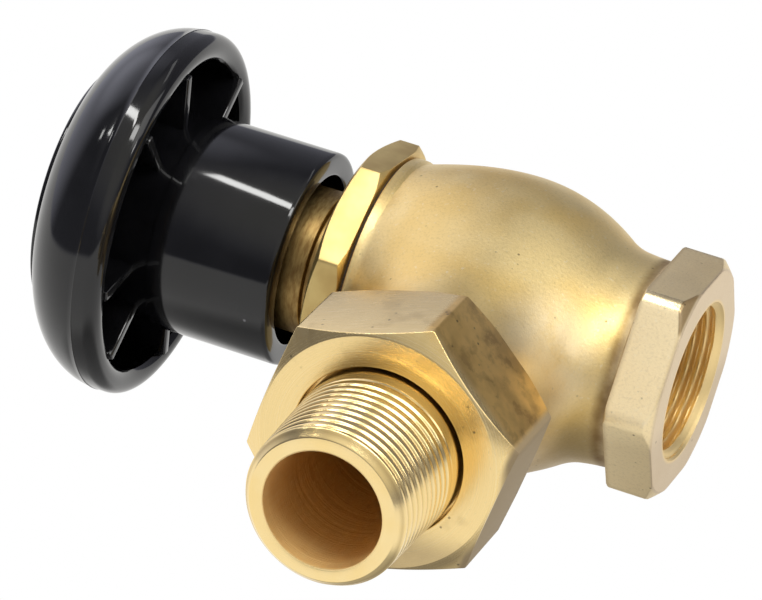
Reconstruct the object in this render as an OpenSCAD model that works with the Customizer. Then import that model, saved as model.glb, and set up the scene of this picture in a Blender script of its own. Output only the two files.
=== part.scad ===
// Union angle valve with a long-sleeved handwheel.
// The stem stands along +Z and the outlet leaves along +X. The inlet faces -Z.
// The origin is on the stem axis, where the inlet thread starts. The valve stands open.
// Heights are counted from the valve centre, where the stem axis crosses the outlet axis.

/* [Body casting] */
// Valve centre to the inlet face
inlet_reach = 33.9; // [32:0.1:40]
// Inlet hexagon, across flats
inlet_hex_af = 36.5; // [34:0.5:42]
// Inlet hexagon, height along the pipe
inlet_hex_h = 8.3; // [7:0.1:10]
// Radius of the round neck above the inlet hexagon
inlet_neck_r = 17.6; // [16:0.2:20]
// Largest radius of the barrel
barrel_r = 23.5; // [22.5:0.1:25]
// Height of the barrel's widest ring above the valve centre
barrel_widest_z = 1; // [0:0.5:4]
// Radius of the barrel's outline in side view, below its widest ring
barrel_arc_r = 34; // [30:0.5:38]
// Radius of the hollow blend from the barrel into the neck
neck_blend_r = 7; // [4:0.5:10]
// Radius of the collar that the bonnet closes
collar_r = 21.5; // [21:0.1:23]
// Height of the collar's top face
collar_z = 21.4; // [20.5:0.2:25]
// Radius of the chamber round the disc
chamber_r = 18; // [17.2:0.2:19]
// Height of the chamber's roof, where the bonnet thread starts
chamber_roof_z = 11; // [10:0.5:12]

/* [Inlet and seat] */
// Bore radius of the female pipe thread, at its crests
inlet_thread_r = 12.1; // [11.5:0.05:12.6]
// Length of the female pipe thread
inlet_thread_l = 14; // [12:0.5:15]
// Depth of the chamfer at the inlet mouth
inlet_mouth_depth = 1.3; // [0.8:0.1:2]
// Radius of the seat's port
port_r = 9.5; // [8:0.1:10]
// Height of the seat face
seat_z = -8; // [-9:0.2:-7]
// Height of the seat ring above the chamber floor
seat_ring_h = 2; // [1.5:0.1:3]
// Wall of the seat ring
seat_ring_wall = 2.2; // [1.5:0.1:3]

/* [Outlet branch] */
// Radius of the union thread on the branch
union_thread_r = 16.55; // [16:0.05:17]
// Length of the union thread
union_thread_l = 8.6; // [7:0.2:10]
// Valve centre to the end face of the branch
branch_reach = 46; // [44:0.5:50]
// Radius of the branch behind its thread
branch_r = 17.4; // [17.2:0.1:18.5]
// Radius of the flare at the branch's root
branch_flare_r = 2.6; // [1:0.2:4]
// Radius of the passage through the branch
branch_bore_r = 10.2; // [8.5:0.1:11]

/* [Union nut] */
// Union nut, across flats
nut_af = 40.2; // [39:0.2:46]
// Length of the union nut
nut_l = 17.8; // [16:0.2:21]
// Thickness of the nut's inner shoulder
nut_shoulder = 4.8; // [3.5:0.1:6]
// Radial gap between the nut's hole and the tailpiece
nut_hole_gap = 1; // [0.4:0.1:1.5]
// Angle of one corner of the nut from +Y, as the nut stands
nut_turn = -13.5; // [-30:0.5:30]
// Travel of one turn of the union thread
union_pitch = 2.3; // [2:0.1:2.6]

/* [Tailpiece] */
// Valve centre to the end of the tailpiece
tail_reach = 76; // [72:0.5:84]
// Radius of the male pipe thread, at its crests
tail_thread_r = 13.7; // [13.2:0.05:13.9]
// Length of the male pipe thread
tail_thread_l = 20.5; // [17:0.5:21]
// Spacing of the male thread's ridges
tail_thread_pitch = 1.8; // [1.6:0.1:2.4]
// Depth of the grooves between the ridges
tail_thread_depth = 0.6; // [0.3:0.1:0.9]
// Step from the thread's crests up to the plain stretch behind it
tail_shank_step = 0.3; // [0.1:0.1:0.4]
// Bore radius of the tailpiece
tail_bore_r = 9.8; // [9:0.1:10.6]
// Radius of the collar inside the nut
tail_collar_r = 15.9; // [15.2:0.1:16.2]
// Thickness of the collar inside the nut
tail_collar_l = 3; // [2.4:0.1:3.2]
// Length of the coned nose ahead of the collar
tail_nose_l = 2.2; // [1.5:0.1:2.6]

/* [Bonnet] */
// Bonnet octagon, across flats
bonnet_af = 43.4; // [42:0.2:46]
// Height of the bonnet octagon
bonnet_flange_h = 5.4; // [4.5:0.1:7]
// Angle of one corner of the octagon from +X
bonnet_turn = 29.3; // [0:0.1:45]
// Radius of the bonnet's round neck
bonnet_neck_r = 12.4; // [11.6:0.1:13]
// Height of the neck's top above the valve centre
bonnet_top_z = 44; // [43:0.2:46]
// Radius of the bonnet's thread in the body
bonnet_thread_r = 17; // [16:0.1:17.6]
// Lower end of the bonnet, above the valve centre
bonnet_foot_z = 12.8; // [12.6:0.1:14]
// Thickness of the gasket
gasket_t = 0.5; // [0.3:0.1:1]

/* [Stem seal] */
// Bore radius of the stuffing box
box_r = 8; // [7.4:0.1:8.8]
// Height of the stuffing box floor
box_floor_z = 33; // [32.6:0.1:34]
// Thickness of the washer under the packing
packing_washer_t = 0.8; // [0.5:0.1:1.2]
// Thickness of one packing ring
packing_ring_t = 2; // [1.4:0.1:2.2]
// Thickness of the washer on top of the packing
gland_washer_t = 1; // [0.6:0.1:1.4]
// Packing nut, across flats
packing_nut_af = 20; // [18:0.5:22]
// Height of the packing nut's head
packing_nut_h = 5; // [4:0.2:5.6]

/* [Stem] */
// Radius of the stem's lifting screw
screw_r = 6.5; // [5.8:0.1:6.8]
// Length of the lifting screw
screw_l = 16; // [13:0.5:16]
// Lower end of the lifting screw
screw_z = 12.2; // [11.6:0.1:12.4]
// Radius of the stem's shank
shank_r = 4.4; // [4.2:0.05:5]
// Side of the square drive at the stem's top
square_side = 6.1; // [5.6:0.1:6.8]
// Height of the square drive's foot
square_z = 57; // [56.5:0.1:58]
// Length of the square drive
square_l = 10; // [8:0.2:10.6]
// Travel of one turn of the lifting screw
stem_lead = 3; // [2:0.5:4]

/* [Disc] */
// Height of the disc above the seat as the valve stands
rest_lift = 6; // [5:0.2:6.4]
// Radius of the seat disc
disc_r = 11.4; // [10.6:0.1:12]
// Thickness of the seat disc
disc_t = 3.4; // [2.6:0.1:4]
// Radius of the disc holder
holder_r = 12.7; // [12:0.1:13.4]
// Thickness of the disc holder's plate
holder_plate_t = 3; // [2.4:0.1:3.4]
// Radius of the disc holder's boss
holder_boss_r = 8.4; // [7.6:0.1:9]
// Radius of the stem's T-head
thead_r = 5.2; // [4.8:0.1:5.6]
// Thickness of the stem's T-head
thead_t = 2.2; // [1.8:0.1:2.6]
// Radius of the stem's neck above the T-head
thead_neck_r = 3.4; // [3:0.1:3.8]
// Shank radius of the screw that holds the seat disc
disc_screw_r = 2; // [1.6:0.1:2.6]

/* [Handwheel] */
// Outer radius of the wheel
wheel_r = 31.4; // [30.5:0.1:36]
// Height of the mould seam, where the wheel is widest
seam_z = 62.8; // [62:0.1:64]
// Radial reach of the rim's rolled front shoulder
shoulder_out = 15.3; // [13:0.1:17]
// Height of the shoulder's full curve above the seam
shoulder_up = 13; // [12:0.1:14]
// Radius of the rim's rolled rear lip
lip_r = 2.4; // [2:0.1:3]
// Thickness of the web
web_t = 3; // [2.4:0.1:3.4]
// Height of the web's underside
web_z = 69; // [68.8:0.1:70]
// Outer radius of the sleeve
sleeve_r = 18.4; // [17.6:0.1:19]
// Bore radius of the sleeve
sleeve_bore_r = 14.6; // [14.2:0.1:15]
// Height of the sleeve's open end
sleeve_end_z = 34.2; // [33.8:0.1:36]
// Height of the step where the sleeve enters the wheel
sleeve_step_z = 56; // [55:0.2:57]
// Depth of that step
sleeve_step = 0.6; // [0.3:0.1:1]
// Number of pairs of ribs behind the web
rib_pairs = 4; // [3:1:5]
// Angle between the two ribs of a pair
rib_spread = 32; // [20:1:50]
// Thickness of a rib
rib_t = 2; // [1.4:0.1:2.6]
// Angle of the first pair's middle from +X
rib_turn = -23; // [-30:0.5:30]
// Radius of the boss round the drive socket
boss_r = 9; // [8:0.1:10]

/* [Handwheel cap] */
// Radius of the front cap
cap_r = 21.6; // [20:0.1:22.6]
// Width of the groove round the cap
cap_gap = 0.6; // [0.3:0.1:1]
// Height of the cap's edge above the wheel's front
cap_edge_h = 1.2; // [1:0.1:2.4]
// Rise of the cap's dome from its edge to its middle
cap_dome_h = 2; // [1:0.1:3]
// Wall of the cap
cap_wall = 1.6; // [1.2:0.1:2]

/* [Handwheel screw] */
// Shank radius of the handwheel screw
wheel_screw_r = 2; // [1.5:0.1:2.4]
// Shank length of the handwheel screw
wheel_screw_l = 9; // [6:0.5:12]
// Head radius of the handwheel screw
wheel_screw_head_r = 3.8; // [3.2:0.1:4.4]
// Head height of the handwheel screw
wheel_screw_head_h = 1.9; // [1.4:0.1:2.2]
// Radius of the washer under the screw head
wheel_washer_r = 5.6; // [5:0.1:6.4]
// Thickness of that washer
wheel_washer_t = 1; // [0.6:0.1:1.2]

/* [Clearances] */
// Radial gap of a thread or shaft that turns in its hole
running_gap = 0.06; // [0.04:0.01:0.09]
// Gap between parts that only lie near each other
loose_gap = 0.4; // [0.3:0.05:0.6]
// Gap between faces that press on each other through a moving joint
face_gap = 0.1; // [0.05:0.01:0.2]

/* [Hidden] */
$fn = 96;

brass = [0.84, 0.68, 0.38];
cast_brass = [0.78, 0.63, 0.36];
black_plastic = [0.06, 0.06, 0.07];
steel = [0.72, 0.72, 0.74];
rubber = [0.16, 0.15, 0.15];
fibre = [0.42, 0.34, 0.26];
graphite = [0.25, 0.25, 0.27];

// Height of the valve centre above the start of the inlet thread
centre_z = inlet_reach - inlet_mouth_depth;
// A cut runs this far past the face that it opens
over = 1;
// Points on a quarter of a rounded outline
arc_steps = 8;
// Rise of a chamfer of 30 degrees over its run
chamfer_slope = tan(30);

// Heights of the disc group, which hangs from the stem's T-head
disc_z = seat_z + rest_lift;
plate_z = disc_z + disc_t;
boss_z = plate_z + holder_plate_t;
slot_z = boss_z + loose_gap / 2;
thead_z = slot_z + loose_gap / 2;
slot_roof_z = thead_z + thead_t + loose_gap / 2;
boss_roof_z = slot_roof_z + 2.6;
holder_rim_h = disc_t * 0.7;
disc_washer_r = 5;
disc_washer_t = 0.8;
disc_screw_head_r = 3.8;
disc_screw_head_h = 2.4;
disc_screw_grip = holder_plate_t - 0.6;

// Heights of the bonnet and the stem seal
bonnet_seat_z = collar_z + gasket_t;
bonnet_flange_z = bonnet_seat_z + bonnet_flange_h;
bonnet_corner_r = bonnet_af / 2 / cos(22.5);
bonnet_bead_h = 1.4;
bonnet_bead_out = 1;
bonnet_groove_h = 2.2;
bonnet_groove_in = 0.9;
screw_roof_z = box_floor_z - 2;
packing_z = box_floor_z + packing_washer_t;
gland_z = packing_z + 3 * packing_ring_t;
nut_spigot_z = gland_z + gland_washer_t;
packing_hole_r = shank_r + running_gap;
packing_inner_r = shank_r + running_gap / 2;
packing_outer_r = box_r - running_gap;

// Places of the union
nut_rear_x = branch_reach - union_thread_l - 1.1;
nut_front_x = nut_rear_x + nut_l;
shoulder_x = nut_front_x - nut_shoulder;
nut_thread_r = union_thread_r + running_gap;
nut_hole_r = tail_thread_r + nut_hole_gap;
collar_front_x = shoulder_x - face_gap;
collar_rear_x = collar_front_x - tail_collar_l;
nose_x = collar_rear_x - tail_nose_l;
tail_thread_x = tail_reach - tail_thread_l;
branch_thread_x = branch_reach - union_thread_l;
branch_relief_l = 1.4;
branch_relief_in = 0.6;
nose_angle_run = tail_nose_l * 0.8;
nose_tip_r = tail_bore_r + 1.6;
tail_chamfer = 1.4;
tail_runout = 2;
tail_groove_w = 0.6 * tail_thread_pitch;
tail_groove_root_w = 0.12 * tail_thread_pitch;
tail_shank_r = tail_thread_r + tail_shank_step;
tail_groove_count = floor((tail_thread_l - tail_chamfer - tail_runout) / tail_thread_pitch);

// Heights of the handwheel
rim_inner_r = wheel_r - lip_r - lip_r * cos(35);
cap_seat_z = web_z + web_t;
cap_recess_r = cap_r + cap_gap;
shoulder_r = wheel_r - shoulder_out;
shoulder_end = acos((cap_recess_r - shoulder_r) / shoulder_out);
front_z = seam_z + shoulder_up * sin(shoulder_end);
cap_top_z = front_z + cap_edge_h;
socket_gap = 0.1;
insert_r = 5.6;
insert_z = square_z + 0.6;
boss_z_wheel = sleeve_step_z;
hub_inner_r = sleeve_bore_r;
stem_top_z = square_z + square_l;
insert_h = stem_top_z - insert_z + 0.3;
washer_z = web_z + loose_gap / 4;
lip_z = seam_z - 1.5;
rib_foot_z = lip_z - lip_r - 0.3;
rib_outer_r = rim_inner_r + 0.6;

// Points of an arc from angle a to angle b, round centre c
function arc(c, r, a, b, steps = arc_steps) =
    [for (i = [0:steps]) let (t = a + (b - a) * i / steps) c + r * [cos(t), sin(t)]];

// Centre radius of the arc that is vertical at (r0, z0) and passes through (r1, z1)
function arc_centre(r0, z0, r1, z1) =
    r0 - (pow(r0 - r1, 2) + pow(z1 - z0, 2)) / (2 * (r0 - r1));

// A round solid about +Z from an outline of [radius, height] points
module turned(points) rotate_extrude() polygon(points);

// Puts a solid drawn along +Z on the outlet axis
module on_outlet() rotate([0, 90, 0]) children();

// A tube from z0 to z1
module tube(r_out, r_in, z0, z1) {
    turned([[r_in, z0], [r_out, z0], [r_out, z1], [r_in, z1]]);
}

// A prism with its corners cut by 30 degree cones: start_r and end_r are the radii of the flat faces
module chamfered_prism(af, sides, h, start_r, end_r) {
    corner_r = af / 2 / cos(180 / sides);
    far = corner_r + over;
    intersection() {
        cylinder(r = corner_r, h = h, $fn = sides);
        turned([
            [0, 0], [start_r, 0], [far, (far - start_r) * chamfer_slope],
            [far, h - (far - end_r) * chamfer_slope], [end_r, h], [0, h]
        ]);
    }
}

// Outer outline of the barrel, from the inlet neck up to the collar
module barrel_skin() {
    hex_z = -inlet_reach + inlet_hex_h;
    low_r = barrel_r - barrel_arc_r;
    blend_c = [
        inlet_neck_r + neck_blend_r,
        barrel_widest_z - sqrt(
            pow(barrel_arc_r + neck_blend_r, 2) - pow(inlet_neck_r + neck_blend_r - low_r, 2)
        )
    ];
    low_end = atan2(blend_c[1] - barrel_widest_z, blend_c[0] - low_r);
    top_r = arc_centre(barrel_r, barrel_widest_z, collar_r - 0.6, collar_z - 2);
    top_end = atan2(collar_z - 2 - barrel_widest_z, collar_r - 0.6 - top_r);
    turned(concat(
        [[0, hex_z - over], [inlet_hex_af / 2 - 0.2, hex_z - over], [inlet_hex_af / 2 - 0.2, hex_z]],
        [[inlet_neck_r, hex_z + 1.2]],
        arc(blend_c, neck_blend_r, 180, 180 + low_end, 5),
        arc([low_r, barrel_widest_z], barrel_arc_r, low_end, 0),
        arc([top_r, barrel_widest_z], barrel_r - top_r, 0, top_end),
        [[collar_r, collar_z - 1.6], [collar_r, collar_z], [0, collar_z]]
    ));
}

// Outlet branch with a flared root, its thread relief and its thread
module branch_skin() {
    root_x = barrel_r - 1;
    on_outlet() turned(concat(
        [[0, 0], [branch_r + branch_flare_r, 0]],
        arc([branch_r + branch_flare_r, root_x + branch_flare_r], branch_flare_r, 270, 180, 4),
        [
            [branch_r, branch_thread_x - branch_relief_l],
            [union_thread_r - branch_relief_in, branch_thread_x - branch_relief_l],
            [union_thread_r - branch_relief_in, branch_thread_x],
            [union_thread_r, branch_thread_x],
            [union_thread_r, branch_reach - 0.6],
            [union_thread_r - 0.6, branch_reach],
            [0, branch_reach]
        ]
    ));
}

// Inlet, seat, chamber and bonnet thread, as one cutting tool about the stem axis
module body_waterway() {
    face = -inlet_reach;
    mouth_r = inlet_thread_r + inlet_mouth_depth;
    thread_end = face + inlet_thread_l;
    floor_z = seat_z - seat_ring_h;
    ring_r = port_r + seat_ring_wall;
    turned([
        [0, face - over], [mouth_r, face - over], [mouth_r, face],
        [inlet_thread_r, face + inlet_mouth_depth], [inlet_thread_r, thread_end],
        [port_r + 1.2, thread_end + 1], [port_r, thread_end + 2.4], [port_r, seat_z],
        [ring_r, seat_z], [ring_r, floor_z], [chamber_r - 2, floor_z],
        [chamber_r, floor_z + 2], [chamber_r, chamber_roof_z - 1],
        [bonnet_thread_r + running_gap, chamber_roof_z],
        [bonnet_thread_r + running_gap, collar_z + over], [0, collar_z + over]
    ]);
}

// Passage through the outlet branch, coned at its end for the tailpiece's nose
module branch_bore() {
    cone_r = nose_tip_r + nose_angle_run + loose_gap;
    cone_depth = branch_reach - nose_x + loose_gap;
    on_outlet() turned([
        [0, 0], [branch_bore_r, 0], [branch_bore_r, branch_reach - cone_depth],
        [nose_tip_r + loose_gap, branch_reach - cone_depth],
        [cone_r, branch_reach], [cone_r, branch_reach + over], [0, branch_reach + over]
    ]);
}

// Moves a piece drawn from the valve centre into the part's frame
module placed() translate([0, 0, centre_z]) children();

module body() {
    color(cast_brass) difference() {
        union() {
            barrel_skin();
            branch_skin();
            translate([0, 0, -inlet_reach])
                chamfered_prism(inlet_hex_af, 6, inlet_hex_h, inlet_hex_af / 2 + 0.5, inlet_hex_af / 2 + 2);
        }
        body_waterway();
        branch_bore();
    }
}

module bonnet_gasket() {
    color(fibre) tube(collar_r - 0.8, bonnet_thread_r + 0.2, collar_z, bonnet_seat_z);
}

// Octagon, neck, bead and groove of the bonnet, with its thread below
module bonnet_skin() {
    bead_r = bonnet_neck_r + bonnet_bead_out;
    groove_r = bonnet_neck_r - bonnet_groove_in;
    bead_z = bonnet_flange_z + bonnet_bead_h;
    groove_z = bead_z + bonnet_groove_h;
    translate([0, 0, bonnet_seat_z]) rotate([0, 0, bonnet_turn])
        chamfered_prism(bonnet_af, 8, bonnet_flange_h, bonnet_af / 2 + 0.6, bonnet_af / 2 - 0.5);
    turned([
        [0, bonnet_foot_z], [bonnet_thread_r - 0.6, bonnet_foot_z],
        [bonnet_thread_r, bonnet_foot_z + 0.6], [bonnet_thread_r, bonnet_seat_z + 1],
        [bead_r, bonnet_seat_z + 1], [bead_r, bead_z - 0.3], [bead_r - 0.3, bead_z],
        [groove_r, bead_z], [groove_r, groove_z], [bonnet_neck_r, groove_z],
        [bonnet_neck_r, bonnet_top_z - 0.6], [bonnet_neck_r - 0.6, bonnet_top_z],
        [0, bonnet_top_z]
    ]);
}

module bonnet() {
    color(brass) difference() {
        bonnet_skin();
        turned([
            [0, bonnet_foot_z - over], [screw_r + running_gap, bonnet_foot_z - over],
            [screw_r + running_gap, screw_roof_z], [packing_hole_r, screw_roof_z],
            [packing_hole_r, box_floor_z], [box_r, box_floor_z],
            [box_r, bonnet_top_z + over], [0, bonnet_top_z + over]
        ]);
    }
}

module packing_washer() {
    color(brass) tube(packing_outer_r, packing_hole_r, box_floor_z, packing_z);
}

module packing_ring(index) {
    foot_z = packing_z + index * packing_ring_t;
    color(graphite) tube(packing_outer_r, packing_hole_r, foot_z, foot_z + packing_ring_t);
}

module gland_washer() {
    color(brass) tube(packing_outer_r, packing_hole_r, gland_z, nut_spigot_z);
}

module packing_nut() {
    flat_r = packing_nut_af / 2;
    color(brass) difference() {
        union() {
            translate([0, 0, nut_spigot_z])
                cylinder(r = packing_outer_r, h = bonnet_top_z - nut_spigot_z + over);
            translate([0, 0, bonnet_top_z])
                chamfered_prism(packing_nut_af, 6, packing_nut_h, flat_r + 2, flat_r - 0.3);
        }
        translate([0, 0, nut_spigot_z - over])
            cylinder(r = packing_hole_r, h = bonnet_top_z + packing_nut_h - nut_spigot_z + 2 * over);
    }
}

// Cup for the seat disc, and a boss with a T-slot that slides over the stem's T-head
module disc_holder() {
    slot_w = 2 * (thead_r + loose_gap);
    neck_w = 2 * (thead_neck_r + loose_gap);
    color(brass) difference() {
        union() {
            translate([0, 0, plate_z - holder_rim_h])
                cylinder(r = holder_r, h = holder_rim_h + holder_plate_t);
            translate([0, 0, plate_z]) cylinder(r = holder_boss_r, h = boss_roof_z - plate_z);
        }
        translate([0, 0, plate_z - holder_rim_h - over])
            cylinder(r = disc_r + running_gap, h = holder_rim_h + over);
        translate([0, 0, plate_z - over])
            cylinder(r = disc_screw_r + running_gap, h = disc_screw_grip + over);
        translate([0, 0, slot_z]) {
            cylinder(r = thead_r + loose_gap, h = slot_roof_z - slot_z);
            translate([-slot_w / 2, 0, 0]) cube([slot_w, holder_boss_r + over, slot_roof_z - slot_z]);
            cylinder(r = thead_neck_r + loose_gap, h = boss_roof_z - slot_z + over);
            translate([-neck_w / 2, 0, 0])
                cube([neck_w, holder_boss_r + over, boss_roof_z - slot_z + over]);
        }
    }
}

module seat_disc() {
    color(rubber) tube(disc_r, disc_screw_r + running_gap, disc_z, plate_z);
}

module disc_washer() {
    color(brass) tube(disc_washer_r, disc_screw_r + running_gap, disc_z - disc_washer_t, disc_z);
}

module disc_screw() {
    head_z = disc_z - disc_washer_t - disc_screw_head_h;
    color(brass) difference() {
        union() {
            turned([
                [0, head_z], [disc_screw_head_r - 0.8, head_z],
                [disc_screw_head_r, head_z + 0.8], [disc_screw_head_r, head_z + disc_screw_head_h],
                [0, head_z + disc_screw_head_h]
            ]);
            translate([0, 0, head_z + over])
                cylinder(r = disc_screw_r, h = plate_z + disc_screw_grip - 0.3 - head_z - over);
        }
        translate([-disc_screw_head_r - over, -0.5, head_z - over])
            cube([2 * (disc_screw_head_r + over), 1, over + 1]);
    }
}

module stem() {
    tapped_l = wheel_screw_l + 1;
    color(brass) difference() {
        union() {
            turned([
                [0, thead_z], [thead_r - 0.3, thead_z], [thead_r, thead_z + 0.3],
                [thead_r, thead_z + thead_t], [thead_neck_r, thead_z + thead_t],
                [thead_neck_r, screw_z], [screw_r - 0.6, screw_z], [screw_r, screw_z + 0.6],
                [screw_r, screw_z + screw_l - 0.6], [screw_r - 0.6, screw_z + screw_l],
                [shank_r, screw_z + screw_l], [shank_r, square_z], [0, square_z]
            ]);
            intersection() {
                translate([-square_side / 2, -square_side / 2, square_z - over])
                    cube([square_side, square_side, square_l + over]);
                translate([0, 0, square_z - over]) cylinder(r = shank_r, h = square_l + over);
            }
        }
        translate([0, 0, stem_top_z - tapped_l]) cylinder(r = wheel_screw_r, h = tapped_l + over);
    }
}

// Outline of the rim, web, hub and sleeve as one turned moulding
module wheel_moulding() {
    lip = [wheel_r - lip_r, lip_z];
    inner_r = rim_inner_r;
    hub_r = sleeve_r - sleeve_step;
    turned(concat(
        [[hub_inner_r, sleeve_end_z + 0.3], [hub_inner_r + 0.3, sleeve_end_z]],
        [[sleeve_r - 0.5, sleeve_end_z], [sleeve_r, sleeve_end_z + 0.5]],
        [[sleeve_r, sleeve_step_z], [hub_r, sleeve_step_z]],
        [[hub_r, web_z - 1], [hub_r + 1, web_z]],
        [[inner_r - 2.4, web_z], [inner_r - 0.7, web_z - 0.7], [inner_r, web_z - 2.4]],
        arc(lip, lip_r, 215, 360),
        [for (i = [0:2 * arc_steps]) let (t = shoulder_end * i / 2 / arc_steps)
            [shoulder_r + shoulder_out * cos(t), seam_z + shoulder_up * sin(t)]],
        [[cap_recess_r, cap_seat_z], [boss_r, cap_seat_z], [boss_r, web_z]],
        [[hub_inner_r, web_z]]
    ));
}

module ribs() {
    root_r = sleeve_r - sleeve_step - 1;
    for (i = [0:rib_pairs - 1]) for (side = [-0.5, 0.5])
        rotate([0, 0, rib_turn + i * 360 / rib_pairs + side * rib_spread])
            translate([root_r, -rib_t / 2, rib_foot_z])
                cube([rib_outer_r - root_r, rib_t, web_z - rib_foot_z + 1]);
}

module handwheel() {
    color(black_plastic) difference() {
        union() {
            wheel_moulding();
            ribs();
            translate([0, 0, boss_z_wheel]) cylinder(r = boss_r, h = web_z - boss_z_wheel + over);
        }
        translate([0, 0, insert_z]) cylinder(r = insert_r, h = insert_h);
        translate([0, 0, boss_z_wheel - over])
            cylinder(r = shank_r + loose_gap, h = insert_z - boss_z_wheel + 2 * over);
        translate([0, 0, insert_z]) cylinder(r = wheel_screw_r + loose_gap, h = cap_seat_z - insert_z + over);
        translate([0, 0, washer_z]) cylinder(r = wheel_washer_r + loose_gap, h = cap_seat_z - washer_z + over);
    }
}

module hub_insert() {
    hole = square_side + 2 * socket_gap;
    color(brass) translate([0, 0, insert_z]) difference() {
        cylinder(r = insert_r, h = insert_h);
        translate([-hole / 2, -hole / 2, -over]) cube([hole, hole, insert_h + 2 * over]);
    }
}

module wheel_washer() {
    color(steel) tube(wheel_washer_r, wheel_screw_r + running_gap, washer_z, washer_z + wheel_washer_t);
}

module wheel_screw() {
    head_z = washer_z + wheel_washer_t;
    color(steel) difference() {
        union() {
            turned([
                [0, head_z], [wheel_screw_head_r, head_z],
                [wheel_screw_head_r, head_z + wheel_screw_head_h - 0.8],
                [wheel_screw_head_r - 0.8, head_z + wheel_screw_head_h],
                [0, head_z + wheel_screw_head_h]
            ]);
            translate([0, 0, head_z - wheel_screw_l]) cylinder(r = wheel_screw_r, h = wheel_screw_l + 0.5);
        }
        translate([-wheel_screw_head_r - over, -0.5, head_z + wheel_screw_head_h - 1])
            cube([2 * (wheel_screw_head_r + over), 1, 1 + over]);
    }
}

// Domed cap that snaps into the front of the wheel, hollow behind
module handwheel_cap() {
    dome_r = (pow(cap_r - 1, 2) + pow(cap_dome_h, 2)) / (2 * cap_dome_h);
    dome_c = cap_top_z + cap_dome_h - dome_r;
    half = asin((cap_r - 1) / dome_r);
    color(black_plastic) turned(concat(
        [[cap_r - cap_wall, cap_seat_z], [cap_r, cap_seat_z], [cap_r, cap_top_z - 0.6]],
        arc([0, dome_c], dome_r, 90 - half, 90),
        arc([0, dome_c], dome_r - cap_wall, 90, 90 - half * 0.9)
    ));
}

module union_nut() {
    flat_r = nut_af / 2;
    color(brass) on_outlet() translate([0, 0, nut_rear_x]) difference() {
        rotate([0, 0, 90 + nut_turn]) chamfered_prism(nut_af, 6, nut_l, flat_r + 0.4, flat_r - 0.4);
        translate([0, 0, -over]) cylinder(r = nut_thread_r, h = shoulder_x - nut_rear_x + over);
        translate([0, 0, -over]) cylinder(r = nut_hole_r, h = nut_l + 2 * over);
    }
}

// Outline of one groove of the male thread, counted from the end of the tailpiece
function tail_groove(index) =
    let (
        middle = tail_reach - tail_chamfer - (index + 0.5) * tail_thread_pitch,
        root_r = tail_thread_r - tail_thread_depth
    )
    [
        [tail_thread_r, middle - tail_groove_w / 2], [root_r, middle - tail_groove_root_w / 2],
        [root_r, middle + tail_groove_root_w / 2], [tail_thread_r, middle + tail_groove_w / 2]
    ];

module tailpiece() {
    grooves = [for (i = [tail_groove_count - 1:-1:0]) each tail_groove(i)];
    color(brass) on_outlet() difference() {
        turned(concat(
            [[0, nose_x], [nose_tip_r, nose_x], [nose_tip_r + nose_angle_run, collar_rear_x]],
            [[tail_collar_r - 0.3, collar_rear_x], [tail_collar_r, collar_rear_x + 0.3]],
            [[tail_collar_r, collar_front_x], [tail_shank_r, collar_front_x]],
            [[tail_shank_r, tail_thread_x], [tail_thread_r, tail_thread_x]],
            grooves,
            [[tail_thread_r, tail_reach - tail_chamfer], [tail_thread_r - tail_chamfer, tail_reach]],
            [[0, tail_reach]]
        ));
        translate([0, 0, nose_x - over])
            cylinder(r = tail_bore_r, h = tail_reach - nose_x + 2 * over);
    }
}

placed() body();
placed() bonnet_gasket();
placed() bonnet();
placed() packing_washer();
placed() packing_ring(0);  // packing_ring_1
placed() packing_ring(1);  // packing_ring_2
placed() packing_ring(2);  // packing_ring_3
placed() gland_washer();
placed() packing_nut();
placed() disc_holder();
placed() seat_disc();
placed() disc_washer();
placed() disc_screw();
placed() stem();
placed() handwheel();
placed() hub_insert();
placed() wheel_washer();
placed() wheel_screw();
placed() handwheel_cap();
placed() union_nut();
placed() tailpiece();
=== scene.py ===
import math

import bmesh
import bpy
import numpy as np
from bpy.props import FloatProperty, FloatVectorProperty, IntProperty, PointerProperty
from bpy.types import Operator, Panel, PropertyGroup
from mathutils import Matrix, Vector


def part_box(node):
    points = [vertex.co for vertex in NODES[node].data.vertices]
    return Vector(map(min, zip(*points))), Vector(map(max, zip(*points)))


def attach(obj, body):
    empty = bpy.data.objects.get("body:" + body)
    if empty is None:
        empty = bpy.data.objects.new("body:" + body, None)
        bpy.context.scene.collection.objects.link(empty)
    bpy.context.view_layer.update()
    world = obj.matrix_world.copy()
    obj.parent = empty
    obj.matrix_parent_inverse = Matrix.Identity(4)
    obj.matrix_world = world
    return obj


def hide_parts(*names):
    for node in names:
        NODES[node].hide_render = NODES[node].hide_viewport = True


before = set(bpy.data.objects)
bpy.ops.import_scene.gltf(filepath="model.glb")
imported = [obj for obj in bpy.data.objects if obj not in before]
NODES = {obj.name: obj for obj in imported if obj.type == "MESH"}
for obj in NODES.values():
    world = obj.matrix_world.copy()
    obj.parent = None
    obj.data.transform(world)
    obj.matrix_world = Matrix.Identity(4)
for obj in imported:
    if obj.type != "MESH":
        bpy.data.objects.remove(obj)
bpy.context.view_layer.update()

bl_info = {
    "name": "Union angle valve",
    "version": (1, 0, 0),
    "blender": (4, 5, 0),
    "location": "View3D > Sidebar > Valve",
    "description": "Builds the finished look of a brass angle valve over its packed frame",
    "category": "Object",
}

MM = 0.001

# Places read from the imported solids, in millimetres
BODY_LOW, BODY_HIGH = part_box("body")
NUT_LOW, NUT_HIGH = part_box("union_nut")
TAIL_LOW, TAIL_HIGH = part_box("tailpiece")
# Height of the valve's centre, where the outlet axis crosses the stem
CENTRE = (TAIL_LOW.z + TAIL_HIGH.z) / 2 / MM
FACE_Z = BODY_LOW.z / MM - CENTRE
TAIL_END = TAIL_HIGH.x / MM


# Outlines


def lengths(default, name, about):
    """A size in millimetres that the user can change."""
    return FloatProperty(name=name, description=about + ", in millimetres", default=default, min=0.0)


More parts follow.
